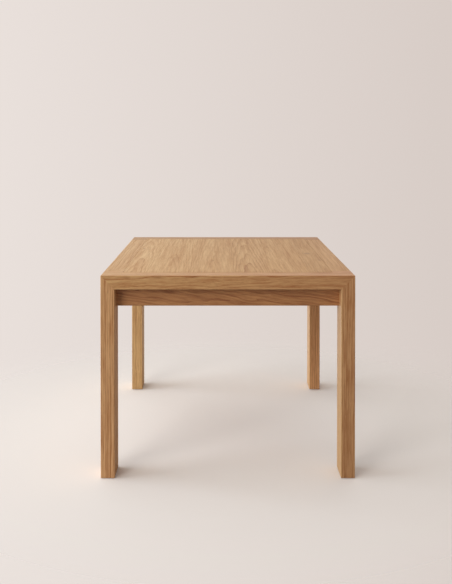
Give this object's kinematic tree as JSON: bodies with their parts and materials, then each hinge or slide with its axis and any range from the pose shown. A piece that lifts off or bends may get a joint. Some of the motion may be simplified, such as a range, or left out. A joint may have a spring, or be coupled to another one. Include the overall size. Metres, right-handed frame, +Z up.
{
  "type": "dining table",
  "caption": "Rectangular oak dining table with a framed top of boards, legs mitred flush into the frame, recessed aprons and levelling feet.",
  "frame": {"origin": "on the floor, under the middle of the table", "axes": "+X across the ends to the right seen from the front end, +Y along the length from the front end to the back end, +Z up"},
  "size_m": [0.95, 1.2, 0.76],
  "materials": {
    "oak_frame": "matt oiled oak",
    "oak_top": "matt oiled oak boards",
    "oak_apron": "matt oiled oak",
    "beech_inner": "planed beech, bare",
    "beech_dowel": "turned beech, bare",
    "zinc_steel": "bright zinc plated",
    "brass_insert": "turned brass",
    "nylon_pad": "dark moulded nylon"
  },
  "bodies": {
    "table": {"leg_front_left": "oak_frame", "corner_block_front_left": "beech_inner", "leg_front_right": "oak_frame", "corner_block_front_right": "beech_inner", "leg_back_left": "oak_frame", "corner_block_back_left": "beech_inner", "leg_back_right": "oak_frame", "corner_block_back_right": "beech_inner", "end_rail_front": "oak_frame", "end_rail_back": "oak_frame", "side_rail_left": "oak_frame", "side_rail_right": "oak_frame", "top_board_1": "oak_top", "top_board_2": "oak_top", "top_board_3": "oak_top", "top_board_4": "oak_top", "top_board_5": "oak_top", "top_board_6": "oak_top", "top_board_7": "oak_top", "top_board_8": "oak_top", "apron_front": "oak_apron", "apron_back": "oak_apron", "apron_left": "oak_apron", "apron_right": "oak_apron", "bearer_front": "beech_inner", "bearer_middle": "beech_inner", "bearer_back": "beech_inner", "mitre_dowels": "beech_dowel", "rail_dowels": "beech_dowel", "apron_screws": "zinc_steel", "bearer_screws": "zinc_steel", "ledge_screws": "zinc_steel", "corner_block_screws": "zinc_steel", "leg_inserts": "brass_insert"},
    "leveller_front_left": {"leveller_pad_front_left": "nylon_pad", "leveller_stud_front_left": "zinc_steel"},
    "leveller_front_right": {"leveller_pad_front_right": "nylon_pad", "leveller_stud_front_right": "zinc_steel"},
    "leveller_back_left": {"leveller_pad_back_left": "nylon_pad", "leveller_stud_back_left": "zinc_steel"},
    "leveller_back_right": {"leveller_pad_back_right": "nylon_pad", "leveller_stud_back_right": "zinc_steel"}
  },
  "joints": [
    {"name": "leveller_front_left_slide", "type": "slide", "parent": "table", "child": "leveller_front_left", "axis": [0, 0, -1], "range_m": [0, 0.01]},
    {"name": "leveller_front_right_slide", "type": "slide", "parent": "table", "child": "leveller_front_right", "axis": [0, 0, -1], "range_m": [0, 0.01]},
    {"name": "leveller_back_left_slide", "type": "slide", "parent": "table", "child": "leveller_back_left", "axis": [0, 0, -1], "range_m": [0, 0.01]},
    {"name": "leveller_back_right_slide", "type": "slide", "parent": "table", "child": "leveller_back_right", "axis": [0, 0, -1], "range_m": [0, 0.01]}
  ]
}
